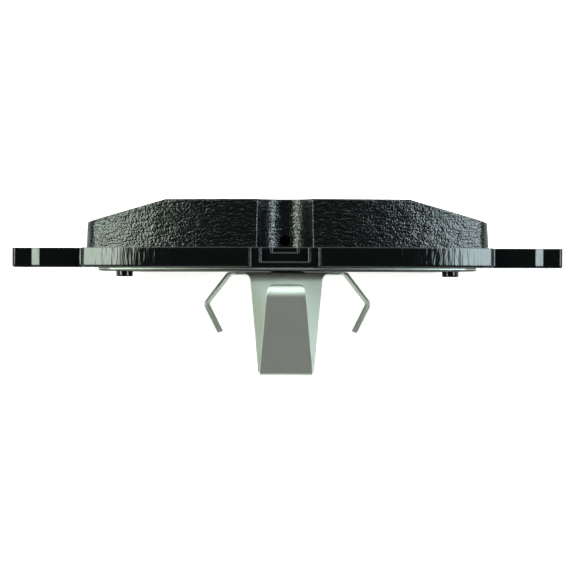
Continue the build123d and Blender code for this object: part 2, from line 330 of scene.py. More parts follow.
def paint_over_grain(tree):
    """Black gloss paint sprayed over moulded friction material: a wet shine broken by fine grains
    and by longer runs along the pad."""
    place = add_node(tree, "ShaderNodeTexCoord").outputs["Object"]
    grains = add_node(tree, "ShaderNodeTexVoronoi", {"Vector": place, "Scale": per_mm(0.5)},
                      feature="SMOOTH_F1")
    fine = add_node(tree, "ShaderNodeTexNoise", {"Vector": place, "Scale": per_mm(0.35), "Detail": 2.0})
    rough = add_node(tree, "ShaderNodeBump", {
        "Height": grains.outputs["Distance"], "Strength": 1.0, "Distance": 0.08 * MM}, invert=True)
    grained = add_node(tree, "ShaderNodeBump", {
        "Height": fine.outputs["Fac"], "Normal": rough.outputs["Normal"],
        "Strength": 1.0, "Distance": 0.04 * MM})
    lengthways = add_node(tree, "ShaderNodeMapping", {
        "Vector": place, "Scale": (per_mm(2.4), per_mm(0.6), per_mm(2.4))})
    runs = add_node(tree, "ShaderNodeTexNoise", {"Vector": lengthways.outputs["Vector"], "Scale": 1.0})
    bumps = add_node(tree, "ShaderNodeBump", {
        "Height": runs.outputs["Fac"], "Normal": grained.outputs["Normal"],
        "Strength": 1.0, "Distance": 0.16 * MM})
    return add_node(tree, "ShaderNodeBsdfPrincipled", {
        "Base Color": bpy.context.scene.pad_colours.paint, "Roughness": 0.16, "IOR": 1.5,
        "Normal": bumps.outputs["Normal"]})


def paint_over_sheared_steel(tree):
    """Black gloss paint over blanked steel: shear marks show as upright streaks on the edges,
    while the rolled faces are nearly smooth."""
    surface = add_node(tree, "ShaderNodeTexCoord")
    place = surface.outputs["Object"]
    facing = add_node(tree, "ShaderNodeSeparateXYZ", {"Vector": surface.outputs["Normal"]}).outputs["Y"]
    flatness = add_node(tree, "ShaderNodeMath", {0: facing}, operation="ABSOLUTE").outputs[0]
    along = add_node(tree, "ShaderNodeMapping", {
        "Vector": place, "Scale": (per_mm(1.1), per_mm(9.0), per_mm(1.1))})
    streaks = add_node(tree, "ShaderNodeTexNoise", {
        "Vector": along.outputs["Vector"], "Scale": 1.0, "Detail": 2.0, "Distortion": 0.6})
    corner = add_node(tree, "ShaderNodeBevel", {"Radius": 0.5 * MM}, samples=6)
    bumps = add_node(tree, "ShaderNodeBump", {
        "Height": streaks.outputs["Fac"], "Normal": corner.outputs["Normal"],
        "Strength": fade(tree, flatness, 0.3, 0.8, 1.0, 0.12), "Distance": 0.07 * MM})
    return add_node(tree, "ShaderNodeBsdfPrincipled", {
        "Base Color": bpy.context.scene.pad_colours.paint, "Roughness": 0.08, "IOR": 1.5,
        "Normal": bumps.outputs["Normal"]})


def ground_friction_face(tree):
    """Ground semi-metallic friction material: dull grey-black with small bright fibres and pits."""
    colours = bpy.context.scene.pad_colours
    place = add_node(tree, "ShaderNodeTexCoord").outputs["Object"]
    grit = add_node(tree, "ShaderNodeTexNoise", {"Vector": place, "Scale": per_mm(1.4), "Detail": 4.0})
    flecks = add_node(tree, "ShaderNodeTexVoronoi", {"Vector": place, "Scale": per_mm(1.3)})
    fleck_mask = add_node(tree, "ShaderNodeMapRange", {
        "Value": flecks.outputs["Distance"], "From Min": 0.12, "From Max": 0.2,
        "To Min": 1.0, "To Max": 0.0})
    shade = add_node(tree, "ShaderNodeMapRange", {
        "Value": grit.outputs["Fac"], "From Min": 0.3, "From Max": 0.7, "To Min": 0.55, "To Max": 1.25})
    ground = add_node(tree, "ShaderNodeVectorMath", {
        0: colours.friction[:3], "Scale": shade.outputs["Result"]}, operation="SCALE")
    mixed = add_node(tree, "ShaderNodeMix", {
        "Factor": fleck_mask.outputs["Result"], 6: ground.outputs["Vector"], 7: colours.fleck},
        data_type="RGBA")
    pits = add_node(tree, "ShaderNodeBump", {
        "Height": grit.outputs["Fac"], "Strength": 0.7, "Distance": 0.12 * MM})
    return add_node(tree, "ShaderNodeBsdfPrincipled", {
        "Base Color": mixed.outputs[2], "Roughness": 0.62,
        "Metallic": fleck_mask.outputs["Result"], "Normal": pits.outputs["Normal"]})


def cured_adhesive(tree):
    """Phenolic bond film, pressed and cured: a thin dark brown line with a dull shine."""
    place = add_node(tree, "ShaderNodeTexCoord").outputs["Object"]
    beads = add_node(tree, "ShaderNodeTexNoise", {"Vector": place, "Scale": per_mm(0.8)})
    bumps = add_node(tree, "ShaderNodeBump", {"Height": beads.outputs["Fac"], "Distance": 0.05 * MM})
    return add_node(tree, "ShaderNodeBsdfPrincipled", {
        "Base Color": bpy.context.scene.pad_colours.adhesive, "Roughness": 0.3,
        "Normal": bumps.outputs["Normal"]})


def calendered_rubber(tree):
    """Nitrile rubber skin, calendered on the shim: soft dark grey with a fine even grain."""
    place = add_node(tree, "ShaderNodeTexCoord").outputs["Object"]
    grain = add_node(tree, "ShaderNodeTexNoise", {"Vector": place, "Scale": per_mm(0.5), "Detail": 3.0})
    bumps = add_node(tree, "ShaderNodeBump", {
        "Height": grain.outputs["Fac"], "Strength": 0.4, "Distance": 0.03 * MM})
    return add_node(tree, "ShaderNodeBsdfPrincipled", {
        "Base Color": bpy.context.scene.pad_colours.rubber, "Roughness": 0.5,
        "Normal": bumps.outputs["Normal"]})


def sheared_shim_steel(tree):
    """Cold rolled steel sheet with a sheared edge: a thin bright line with fine upright tears."""
    place = add_node(tree, "ShaderNodeTexCoord").outputs["Object"]
    along = add_node(tree, "ShaderNodeMapping", {
        "Vector": place, "Scale": (per_mm(0.7), per_mm(4.0), per_mm(0.7))})
    tears = add_node(tree, "ShaderNodeTexNoise", {"Vector": along.outputs["Vector"], "Scale": 1.0})
    bumps = add_node(tree, "ShaderNodeBump", {
        "Height": tears.outputs["Fac"], "Strength": 0.6, "Distance": 0.04 * MM})
    return add_node(tree, "ShaderNodeBsdfPrincipled", {
        "Base Color": bpy.context.scene.pad_colours.shim_steel, "Metallic": 1.0,
        "Roughness": 0.42, "Normal": bumps.outputs["Normal"]})


def cold_headed_steel(tree):
    """Cold headed rivet steel, tumbled: a soft satin dome with small dents."""
    place = add_node(tree, "ShaderNodeTexCoord").outputs["Object"]
    dents = add_node(tree, "ShaderNodeTexNoise", {"Vector": place, "Scale": per_mm(1.2), "Detail": 3.0})
    bumps = add_node(tree, "ShaderNodeBump", {
        "Height": dents.outputs["Fac"], "Strength": 0.5, "Distance": 0.05 * MM})
    return add_node(tree, "ShaderNodeBsdfPrincipled", {
        "Base Color": bpy.context.scene.pad_colours.rivet_steel, "Metallic": 1.0,
        "Roughness": 0.34, "Normal": bumps.outputs["Normal"]})


def rolled_spring_steel(tree):
    """Stainless spring strip, rolled and belt finished: fine scratches run along the strip,
    so highlights spread across it, and faint smudges change its shine."""
    colours = bpy.context.scene.pad_colours
    strip = add_node(tree, "ShaderNodeUVMap", uv_map="Strip").outputs["UV"]
    # Real belt scratches are about 0.02 mm apart; 0.16 mm is the finest that shows here.
    along = add_node(tree, "ShaderNodeMapping", {
        "Vector": strip, "Scale": (per_mm(7.0), per_mm(0.16), 1.0)})
    scratches = add_node(tree, "ShaderNodeTexNoise", {
        "Vector": along.outputs["Vector"], "Scale": 1.0, "Detail": 2.0})
    smudges = add_node(tree, "ShaderNodeTexNoise", {
        "Vector": strip, "Scale": per_mm(6.0), "Detail": 3.0})
    shine = add_node(tree, "ShaderNodeMapRange", {
        "Value": smudges.outputs["Fac"], "From Min": 0.3, "From Max": 0.7,
        "To Min": 0.5, "To Max": 0.55})
    bumps = add_node(tree, "ShaderNodeBump", {
        "Height": scratches.outputs["Fac"], "Strength": 0.5, "Distance": 0.006 * MM})
    lay = add_node(tree, "ShaderNodeTangent", direction_type="UV_MAP", uv_map="Strip")
    return add_node(tree, "ShaderNodeBsdfPrincipled", {
        "Base Color": colours.spring_steel, "Metallic": 1.0,
        "Roughness": shine.outputs["Result"], "Anisotropic": 0.75, "Anisotropic Rotation": 0.25,
        "Tangent": lay.outputs["Tangent"], "Normal": bumps.outputs["Normal"]})


def matte_floor(tree):
    """Rolled matte white paint on board: flat and even, with only soft shadows. Its glow is for the
    camera alone and lights nothing."""
    settings = bpy.context.scene.pad_stage
    seen = add_node(tree, "ShaderNodeLightPath").outputs["Is Camera Ray"]
    return add_node(tree, "ShaderNodeBsdfPrincipled", {
        "Base Color": settings.floor, "Roughness": 1.0, "Specular IOR Level": 0.0,
        "Emission Color": settings.floor,
        "Emission Strength": fade(tree, seen, 0.0, 1.0, 0.0, settings.floor_glow)})


def finish_node(node, build):
    """Gives a CAD node's object a material of its own finish."""
    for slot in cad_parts[node].material_slots:
        slot.material = material(build)


# ---------------------------------------------------------------- mesh helpers


def join_rows(bm, rows):
    """Quads between neighbouring closed rows of vertices."""
    for near, far in zip(rows, rows[1:]):
        for i in range(len(near)):
            j = (i + 1) % len(near)
            bm.faces.new((near[i], near[j], far[j], far[i]))


def new_rows(bm, loops):
    """Closed rows of vertices at loops of points, joined by quads."""
    rows = [[bm.verts.new(point) for point in loop] for loop in loops]
    join_rows(bm, rows)
    return rows


def new_piece(name, bm, materials, sharp_angle=SHARP):
    """An object from a finished mesh, shaded smooth except at sharp corners."""
    bmesh.ops.recalc_face_normals(bm, faces=bm.faces[:])
    mesh = bpy.data.meshes.new(name)
    bm.to_mesh(mesh)
    bm.free()
    for made in materials:
        mesh.materials.append(made)
    mesh.shade_smooth()
    mesh.set_sharp_from_angle(angle=sharp_angle)
    piece = bpy.data.objects.new(name, mesh)
    bpy.context.scene.collection.objects.link(piece)
    return piece


def spaced(start, end, step):
    """Numbers from start up to but not including end, about a step apart."""
    count = max(1, round(abs(end - start) / step))
    return [start + (end - start) * i / count for i in range(count)]


# ---------------------------------------------------------------- friction material


def right_meeting(centre, radius, other, other_radius):
    """The right-hand point where two circles, one above the other, meet."""
    gap = other - centre
    along = (radius ** 2 - other_radius ** 2 + gap.length_squared) / (2 * gap.length)
    across = sqrt(radius ** 2 - along ** 2)
    side = Vector((gap.y, -gap.x)).normalized()
    return centre + gap.normalized() * along + side * across


def arc(centre, radius, start, end, outwards=1):
    """Stretch of the outline: a function of 0 to 1 that gives a point and its normal."""
    length = radius * abs(end - start)

    def at(t):
        angle = start + (end - start) * t
        ray = Vector((cos(angle), sin(angle)))
        return Vector(centre) + ray * radius, ray * outwards
    return at, length


def line(start, end):
    """Straight stretch of the outline, walked clockwise."""
    start, end = Vector(start), Vector(end)
    run = (end - start).normalized()

    def at(t):
        return start.lerp(end, t), Vector((-run.y, run.x))
    return at, (end - start).length


def towards(centre, point):
    """Angle of the ray from a centre to a point."""
    return atan2(point[1] - centre[1], point[0] - centre[0])


def friction_side(inset, sensor_x):
    """Stretches of the right half of the outline, from the recess floor round to the lower middle."""
    disc_axis = Vector((0, DISC_AXIS_Z))
    top_radius = TOP_RADIUS - inset
    recess = Vector((sensor_x, DISC_AXIS_Z + TOP_RADIUS - RECESS_DEPTH + RECESS_RADIUS))
    rim = right_meeting(disc_axis, top_radius - RECESS_RIM, recess, RECESS_RADIUS + RECESS_RIM)
    shoulder = Vector((FRICTION_HALF - SHOULDER_ROUND, 0))
    shoulder.y = DISC_AXIS_Z + sqrt((TOP_RADIUS - SHOULDER_ROUND) ** 2 - shoulder.x ** 2)

    # The lower arc is hollow: its axis lies below the pad.
    half_chord, rise = LOWER_CORNER[0], LOWER_MIDDLE - LOWER_CORNER[1]
    lower_radius = (half_chord ** 2 + rise ** 2) / (2 * rise)
    lower_axis = Vector((0, LOWER_MIDDLE - lower_radius))

    # The slanted side and the lower arc meet in a round corner about the foot point.
    corner = Vector((FRICTION_HALF, SIDE_BOTTOM))
    slant = (Vector(LOWER_CORNER) - corner).normalized()
    inwards = Vector((slant.y, -slant.x))
    start = corner + inwards * LOWER_ROUND
    down = (lower_axis - start).dot(slant)
    spare = (lower_radius + LOWER_ROUND) ** 2 - (start - lower_axis).length_squared + down ** 2
    foot = start + slant * (down - sqrt(spare))
    half = FRICTION_HALF - inset
    slant_start = corner + inwards * inset
    slant_start += slant * ((half - slant_start.x) / slant.x)
    slant_end = foot - inwards * (LOWER_ROUND - inset)
    return [
        arc(recess, RECESS_RADIUS, -pi / 2, towards(recess, rim), -1),
        arc(rim, RECESS_RIM, towards(rim, recess), towards(disc_axis, rim)),
        arc(disc_axis, top_radius, towards(disc_axis, rim), towards(disc_axis, shoulder)),
        arc(shoulder, SHOULDER_ROUND - inset, towards(disc_axis, shoulder), 0),
        line((half, shoulder.y), slant_start),
        line(slant_start, slant_end),
        arc(foot, LOWER_ROUND - inset, towards(slant_end, foot) + pi, towards(foot, lower_axis)),
        arc(lower_axis, lower_radius + inset, towards(lower_axis, foot), pi / 2, -1),
    ]


def friction_loop(inset, step):
    """Points and normals of the outline in millimetres, clockwise from the recess floor.
    The number of points is the same for every inset."""
    halves = []
    for side in (1, -1):
        counts = [max(3, round(length / step)) for _, length in friction_side(0, side * SENSOR_X)]
        stretches = friction_side(inset, side * SENSOR_X)
        half = [at(i / n) for (at, _), n in zip(stretches, counts) for i in range(n)]
        half.append(stretches[-1][0](1))
        flip = Vector((side, 1))
        halves.append([(point * flip, normal * flip) for point, normal in half])
    right, left = halves
    return right + left[-2:0:-1]


def front_depth(x):
    """Depth of the friction face, which is flat in the middle and sloped at both ends."""
    return max(0.0, (abs(x) - CHAMFER_START) * CHAMFER_SLOPE)


class FrictionWall:
    """The drafted side wall that the friction layer and the underlayer share."""

    def __init__(self, sizes):
        self.sizes = sizes
        step = sizes.mesh_step / MM
        self.back = friction_loop(0, step)
        self.front = friction_loop(FRICTION_BACK * tan(DRAFT), step)

    def unevenness(self, point):
        """Height of the painted skin over the nominal wall, at a place in metres."""
        lumps = noise.noise(point / self.sizes.lump_size) * self.sizes.lump_height
        pebbles = noise.noise(point / self.sizes.pebble_size) * self.sizes.pebble_height
        return lumps + pebbles

    def row(self, drop, inwards=0.0, share=0.0, back=None):
        """Closed row of points. drop is in millimetres behind the sloped friction face, or a plain
        depth from the layers' joint on; with back, the row lies a share of the way from there to
        that depth. inwards moves it into the material, where it has no unevenness."""
        loop = []
        for (outer, normal), (inner, _) in zip(self.back, self.front):
            spot = outer - normal * inwards
            depth = drop if drop >= LAYER_JOINT else front_depth(spot.x) + drop
            if back is not None:
                depth += (back - depth) * share
            spot += (inner - outer) * (1 - depth / FRICTION_BACK)
            point = Vector((spot.x, -depth, spot.y)) * MM
            if inwards == 0:
                point += Vector((normal.x, 0, normal.y)) * self.unevenness(point)
            loop.append(point)
        return loop


def shares(length, step):
    """Even shares from 0 to 1 along a length, about a step apart."""
    count = max(1, ceil(length / step))
    return [i / count for i in range(count + 1)]


def cap_with_creases(bm, row, material_index):
    """Closes a row with three flat faces that meet at the creases of the sloped ends."""
    count = len(row)
    crossings = []
    for i in range(count):
        here, there = row[i - 1].co.x, row[i].co.x
        for crease in (CHAMFER_START * MM, -CHAMFER_START * MM):
            if (here - crease) * (there - crease) < -CROSSING:
                nearer = i - 1 if abs(here - crease) < abs(there - crease) else i
                row[nearer].co.x = crease
                row[nearer].co.y = 0
                crossings.append(nearer % count)
    top_right, low_right, low_left, top_left = sorted(crossings)
    outlines = [
        row[top_right:low_right + 1],
        row[low_left:top_left + 1],
        row[top_left:] + row[:top_right + 1] + row[low_right:low_left + 1],
    ]
    for outline in outlines:
        bm.faces.new(outline).material_index = material_index


def build_friction_block(wall):
    """Friction layer: ground face with sloped ends, worn edge and pebbled, painted wall."""
    bm = bmesh.new()
    rounding = wall.sizes.edge_round / MM
    step = wall.sizes.mesh_step / MM
    loops = [wall.row(0, 2 * rounding)]
    for angle in (0, pi / 6, pi / 3):
        loops.append(wall.row(rounding * (1 - cos(angle)), rounding * (1 - sin(angle))))
    loops += [wall.row(rounding, 0, share, LAYER_JOINT)
              for share in shares(LAYER_JOINT - rounding, step)]
    rows = new_rows(bm, loops)
    for face in bm.faces:
        face.material_index = 1
    ground = set(rows[0] + rows[1])
    for face in bm.faces:
        if all(vert in ground for vert in face.verts):
            face.material_index = 0
    cap_with_creases(bm, rows[0], 0)
    bm.faces.new(rows[-1]).material_index = 1
    return new_piece("friction_layer", bm, [material(ground_friction_face), material(paint_over_grain)])


def boolean(piece, tool, operation):
    """Cuts the tool out of the piece, or joins it on, and removes the tool."""
    change = piece.modifiers.new("Change", "BOOLEAN")
    change.operation = operation
    change.object = tool
    change.solver = "EXACT"
    shown = piece.evaluated_get(bpy.context.evaluated_depsgraph_get())
    result = bpy.data.meshes.new_from_object(shown)
    piece.modifiers.clear()
    old = piece.data
    piece.data = result
    bpy.data.meshes.remove(old)
    bpy.data.objects.remove(tool)


def rod(name, radius, start, end, segments=48):
    """A round rod between two points in millimetres."""
    start, end = Vector(start) * MM, Vector(end) * MM
    turn = Vector((0, 0, 1)).rotation_difference(end - start).to_matrix()
    bm = bmesh.new()
    ring = [Vector((cos(a), sin(a), 0)) * radius * MM for a in spaced(0, 2 * pi, 2 * pi / segments)]
    rows = new_rows(bm, [[place + turn @ point for point in ring] for place in (start, end)])
    for row in rows:
        bm.faces.new(row)
    return new_piece(name, bm, [])


def build_underlayer(wall):
    """Underlayer: the same painted wall, with the sensor's bore and the plate's keying bosses."""
    bm = bmesh.new()
    step = wall.sizes.mesh_step / MM
    loops = [wall.row(LAYER_JOINT, 0, share, UNDERLAYER_BACK)
             for share in shares(UNDERLAYER_BACK - LAYER_JOINT, step)]
    rows = new_rows(bm, loops)
    bm.faces.new(rows[0])
    bm.faces.new(rows[-1])
    piece = new_piece("underlayer_block", bm, [material(paint_over_grain)])
    bore = rod("bore", BORE_RADIUS, (SENSOR_X, -BORE_DEPTH, BORE_BOTTOM),
               (SENSOR_X, -BORE_DEPTH, BORE_MOUTH))
    boolean(piece, bore, "DIFFERENCE")
    for x, z in KEY_PLACES:
        boss = rod("boss", KEY_RADIUS, (x, -UNDERLAYER_BACK + KEY_ROOT, z), (x, -PLATE_BACK, z))
        boolean(piece, boss, "UNION")
    piece.data.set_sharp_from_angle(angle=SHARP)
    return piece


# ---------------------------------------------------------------- sheet metal


def turned(vector, angle):
    """A flat vector turned anticlockwise by an angle."""
    return Vector((vector.x * cos(angle) - vector.y * sin(angle),
                   vector.x * sin(angle) + vector.y * cos(angle)))


def bent_line(points, radii, step):
    """Places along a line with round bends: each has its point, direction and travelled length."""
    corners = [Vector(point) for point in points]
    runs = [(b - a).normalized() for a, b in zip(corners, corners[1:])]
    places = []
    here = corners[0]
    for corner, into, out, radius in zip(corners[1:], runs, runs[1:], radii):
        turn = atan2(into.cross(out), into.dot(out))
        reach = radius * tan(abs(turn) / 2)
        arrive = corner - into * reach
        for share in shares((arrive - here).length, step)[:-1]:
            places.append((here.lerp(arrive, share), into))
        side = Vector((-into.y, into.x)) * (1 if turn > 0 else -1)
        centre = arrive + side * radius
        for share in shares(radius * abs(turn), step / BEND_FINENESS)[:-1]:
            angle = turn * share
            places.append((centre - turned(side, angle) * radius, turned(into, angle)))
        here = corner + out * reach
    places += [(here.lerp(corners[-1], share), runs[-1])
               for share in shares((corners[-1] - here).length, step)]
    travelled = 0.0
    line_places = []
    for i, (point, direction) in enumerate(places):
        travelled += (point - places[i - 1][0]).length if i else 0.0
        line_places.append((point, direction, travelled))
    return line_places


def section(half_width, half_thickness, rounding, steps=4):
    """Cross-section of a blanked strip as (across, up) pairs, with round corners."""
    flat = half_width - rounding
    firm = flat - rounding
    across = [flat] + [firm * (1 - 2 * i / COLUMNS) for i in range(COLUMNS + 1)] + [-flat]
    quarter = pi / 2

    def corner(x, y, start, first, last):
        middle = (x * flat, y * (half_thickness - rounding))
        turns = [start + quarter * i / steps for i in range(first, last)]
        return [(middle[0] + rounding * cos(a), middle[1] + rounding * sin(a)) for a in turns]

    outline = [(a, half_thickness) for a in across]
    outline += corner(-1, 1, quarter, 1, steps + 1) + corner(-1, -1, 2 * quarter, 0, steps)
    outline += [(-a, -half_thickness) for a in across]
    outline += corner(1, -1, 3 * quarter, 1, steps + 1) + corner(1, 1, 0, 0, steps)
    return outline


def bent_strip(name, places, half_width, stand, rounding, free_end=True):
    """A closed strip of sheet along a bent line. half_width gives half its width in millimetres at
    a point and travelled length; stand turns (along, up, across) coordinates into a place."""
    bm = bmesh.new()
    lay = bm.loops.layers.uv.new("Strip")
    stops = [(point, direction, travelled, 0.0) for point, direction, travelled in places]
    if free_end:
        end, direction, travelled = places[-1]
        stops = [stop for stop in stops if stop[2] < travelled - rounding]
        for i in range(END_ROWS + 1):
            angle = pi / 2 * i / END_ROWS
            back = rounding * (1 - sin(angle))
            stops.append((end - direction * back, direction, travelled - back,
                          rounding * (1 - cos(angle)) * END_SHARE))
    loops = []
    for point, direction, travelled, inset in stops:
        up = Vector((-direction.y, direction.x))
        half = half_width(point, travelled) - inset
        outline = section(half, SHEET / 2 - inset, rounding - inset)
        loops.append([stand(point + up * rise, across) for across, rise in outline])
    rows = new_rows(bm, loops)
    bm.faces.new(rows[0])
    bm.faces.new(rows[-1])
    root_point, _, root_travelled = places[0]
    root_half = half_width(root_point, root_travelled) * MM
    where = {}
    for row, (_, _, travelled, _) in zip(rows, stops):
        edge = -(row[0].co - row[COLUMNS + 2].co).length / 2
        for i, vert in enumerate(row):
            edge += (vert.co - row[i - 1].co).length if i else 0.0
            where[vert] = (travelled * MM, edge)
    for face in bm.faces:
        edges = [where[vert][1] for vert in face.verts]
        # A face that closes a row joins its last vertices to its first, a whole outline away.
        closes_row = max(edges) - min(edges) > root_half
        for loop in face.loops:
            along, across = where[loop.vert]
            if closes_row and across < 0:
                across = max(edges)
            loop[lay].uv = (along, across)
    return new_piece(name, bm, [material(rolled_spring_steel)])


def lean_at(z):
    """How far the fingers and the base's sides stand inwards at a height, in millimetres."""
    return (FINGER_HALF - z) * FINGER_LEAN


def build_finger(side, sizes):
    """Side finger: bulges outwards to grip the piston's bore. side is 1 on the right, -1 on the left."""
    rounding = sizes.edge_round / MM
    root = (FINGER_LINE[0][0] - rounding, FINGER_LINE[0][1])
    places = bent_line([root] + FINGER_LINE[1:], FINGER_ROUNDS, STRIP_STEP)
    name = "clip_finger_strip_right" if side > 0 else "clip_finger_strip_left"

    def stand(point, across):
        return Vector((side * (point.x - lean_at(across)), -point.y, across)) * MM
    return bent_strip(name, places, lambda point, travelled: FINGER_HALF, stand, rounding)


def leaf_half_width(point, neck):
    """Half width of the tongue's leaf: a rounded neck, a taper, and cut corners at the fold."""
    z, depth = point
    if depth < BASE_BACK or z < LEAF_NECK_TOP:
        return LEAF_NECK_HALF
    past = depth - BASE_BACK
    half = LEAF_ROOT_HALF + (LEAF_END_HALF - LEAF_ROOT_HALF) * past / (LEAF_CORNER - BASE_BACK)
    if past < neck:
        half += neck - sqrt(neck ** 2 - (neck - past) ** 2)
    if z > FOLD_MIDDLE:
        return FOLD_HALF
    return max(FOLD_HALF, half - max(0.0, depth - LEAF_CORNER) * LEAF_CORNER_SLOPE)


def tongue_stand(point, across):
    """Place of a point given as (z, depth) and its distance across the tongue."""
    return Vector((TONGUE_X + across, -point.y, point.x)) * MM


def build_leaf(sizes):
    """Tongue leaf: bends off the base, runs out along the piston axis and folds back at its end."""
    rounding = sizes.edge_round / MM
    root = (LEAF_LINE[0][0] - rounding, LEAF_LINE[0][1])
    end = (return_z(FOLD_SPLIT), FOLD_SPLIT)
    places = bent_line([root] + LEAF_LINE[1:] + [end], LEAF_ROUNDS, STRIP_STEP)
    return bent_strip(
        "clip_tongue_leaf_strip", places,
        lambda point, travelled: leaf_half_width(point, sizes.neck_round / MM),
        tongue_stand, rounding, free_end=False)


def return_z(depth):
    """Height of the return leg's middle at a depth, between the fold and the knee."""
    fold_z, fold_depth = LEAF_LINE[-1]
    return fold_z + (KNEE[0] - fold_z) * (fold_depth - depth) / (fold_depth - KNEE[1])


def build_return(sizes):
    """Tongue return leg: comes back above the leaf and ends in a lip with rounded corners."""
    rounding = sizes.edge_round / MM
    places = bent_line([(return_z(FOLD_SPLIT), FOLD_SPLIT), KNEE, LIP_TIP], [KNEE_ROUND], RETURN_STEP)
    length = places[-1][2]
    corner = sizes.lip_round / MM

    def half_width(point, travelled):
        past = point.y - KNEE_START
        half = KNEE_HALF + (FOLD_HALF - KNEE_HALF) * past / (LEAF_CORNER - KNEE_START)
        if past < 0:
            half = KNEE_HALF + (KNEE_HALF - LIP_HALF) * past / (KNEE_START - LIP_TIP[1])
        left = min(corner, length - travelled)
        return half - corner + sqrt(corner ** 2 - (corner - left) ** 2)
    return bent_strip("clip_tongue_return_strip", places, half_width, tongue_stand, rounding)


def circle(centre, radius, depth, segments=64):
    """Points of a circle about a place on the pad, at a depth, all in millimetres."""
    return [Vector((centre[0] + radius * cos(a), -depth, centre[1] + radius * sin(a))) * MM
            for a in spaced(0, 2 * pi, 2 * pi / segments)]


def rounded_rectangle(inset, step=0.5):
    """Points of the clip base's outline, moved inwards by an inset, in millimetres. Its sides lean
    as the fingers do."""
    points = []
    radius = BASE_ROUND - inset
    right, top, low = BASE_HALF - BASE_ROUND, BASE_TOP - BASE_ROUND, BASE_LOW + BASE_ROUND
    centres = [(right, top), (-right, top), (-right, low), (right, low)]
    for i, (x, z) in enumerate(centres):
        for share in shares(BASE_ROUND * pi / 2, step):
            angle = (i + share) * pi / 2
            across, up = x + radius * cos(angle), z + radius * sin(angle)
            points.append((across * (1 - lean_at(up) / BASE_HALF), up))
    return points


def build_base(sizes):
    """Clip base: flat sheet with blanked edges that stands off the shim on two dished rivet seats."""
    rounding = sizes.edge_round / MM
    bm = bmesh.new()
    lay = bm.loops.layers.uv.new("Strip")
    turns = [pi / 2 * i / 4 for i in range(5)]
    front = [(rounding * (1 - sin(a)), BASE_FRONT + rounding * (1 - cos(a))) for a in turns]
    back = [(inset, BASE_FRONT + BASE_BACK - depth) for inset, depth in reversed(front)]
    loops = [[Vector((x, -depth, z)) * MM for x, z in rounded_rectangle(inset)]
             for inset, depth in front + back]
    edge_rows = new_rows(bm, loops)
    outer_rows = [edge_rows[0], edge_rows[-1]]
    rims = [[], []]
    dish = [(SEAT_OUTER - (SEAT_OUTER - SEAT_INNER) * i / 6, SEAT_DROP * (1 - cos(pi * i / 6)) / 2)
            for i in range(7)] + [(RIVET_SHANK, SEAT_DROP)]
    for centre in RIVET_PLACES:
        down = [circle(centre, radius, BASE_FRONT - drop) for radius, drop in dish]
        up = [circle(centre, radius, BASE_BACK - drop) for radius, drop in reversed(dish)]
        rows = new_rows(bm, down + up)
        rims[0].append(rows[0])
        rims[1].append(rows[-1])
    for outer, holes in zip(outer_rows, rims):
        edges = []
        for row in [outer] + holes:
            edges += [bm.edges.get((row[i - 1], row[i])) for i in range(len(row))]
        bmesh.ops.triangle_fill(bm, use_beauty=True, edges=edges)
    for face in bm.faces:
        for loop in face.loops:
            loop[lay].uv = (loop.vert.co.z, loop.vert.co.x)
    return new_piece("clip_base_sheet", bm, [material(rolled_spring_steel)], sharp_angle=radians(40))


def build_rivets():
    """Two rivets: sunk heads in the plate, shanks, and domed heads formed on the clip."""
    bm = bmesh.new()
    seat = BASE_BACK - SEAT_DROP
    dome = [(HEAD_RADIUS * cos(a) ** HEAD_FULLNESS, seat + HEAD_RIM + (HEAD_HEIGHT - HEAD_RIM) * sin(a))
            for a in [radians(angle) for angle in range(0, 88, 8)]]
    profile = [(SUNK_CENTRE, FRICTION_BACK), (SUNK_RADIUS, FRICTION_BACK),
               (RIVET_SHANK, FRICTION_BACK + SUNK_DEPTH), (RIVET_SHANK, seat),
               (HEAD_RADIUS - HEAD_BEVEL, seat), (HEAD_RADIUS, seat + HEAD_BEVEL_RISE)] + dome
    for centre in RIVET_PLACES:
        rows = new_rows(bm, [circle(centre, radius, depth) for radius, depth in profile])
        bm.faces.new(rows[0])
        bm.faces.new(rows[-1])
    return new_piece("clip_rivet_pair", bm, [material(cold_headed_steel)], sharp_angle=radians(35))


# ---------------------------------------------------------------- operators


class BRAKEPAD_OT_friction_material(bpy.types.Operator):
    """Friction layer and underlayer with their pebbled, painted wall"""
    bl_idname = "brakepad.friction_material"
    bl_label = "Friction Material"

    def execute(self, context):
        wall = FrictionWall(context.scene.pad_sizes)
        layer = build_friction_block(wall)
        under = build_underlayer(wall)
        for piece, node, slot in ((layer, "friction_block", "friction_paint"),
                                  (under, "underlayer", "underlayer_paint")):
            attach(piece, "pad")
            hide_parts(node)
        finish_node("bond_film", cured_adhesive)
        return {"FINISHED"}


class BRAKEPAD_OT_backing_plate(bpy.types.Operator):
    """Gloss paint over the stamped backing plate"""
    bl_idname = "brakepad.backing_plate"
    bl_label = "Backing Plate"

    def execute(self, context):
        finish_node("backing_plate", paint_over_sheared_steel)
        return {"FINISHED"}


class BRAKEPAD_OT_shim(bpy.types.Operator):
    """Steel core and rubber skins of the shim"""
    bl_idname = "brakepad.shim"
    bl_label = "Shim"

    def execute(self, context):
        finish_node("shim_inner_rubber", calendered_rubber)
        finish_node("shim_steel_core", sheared_shim_steel)
        finish_node("shim_outer_rubber", calendered_rubber)
        return {"FINISHED"}


class BRAKEPAD_OT_clip_base(bpy.types.Operator):
    """Base of the clip and its two rivets"""
    bl_idname = "brakepad.clip_base"
    bl_label = "Clip Base and Rivets"

    def execute(self, context):
        base = build_base(context.scene.clip_sizes)
        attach(base, "pad")
        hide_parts("clip_base")
        rivets = build_rivets()
        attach(rivets, "pad")
        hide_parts("clip_rivets")
        return {"FINISHED"}


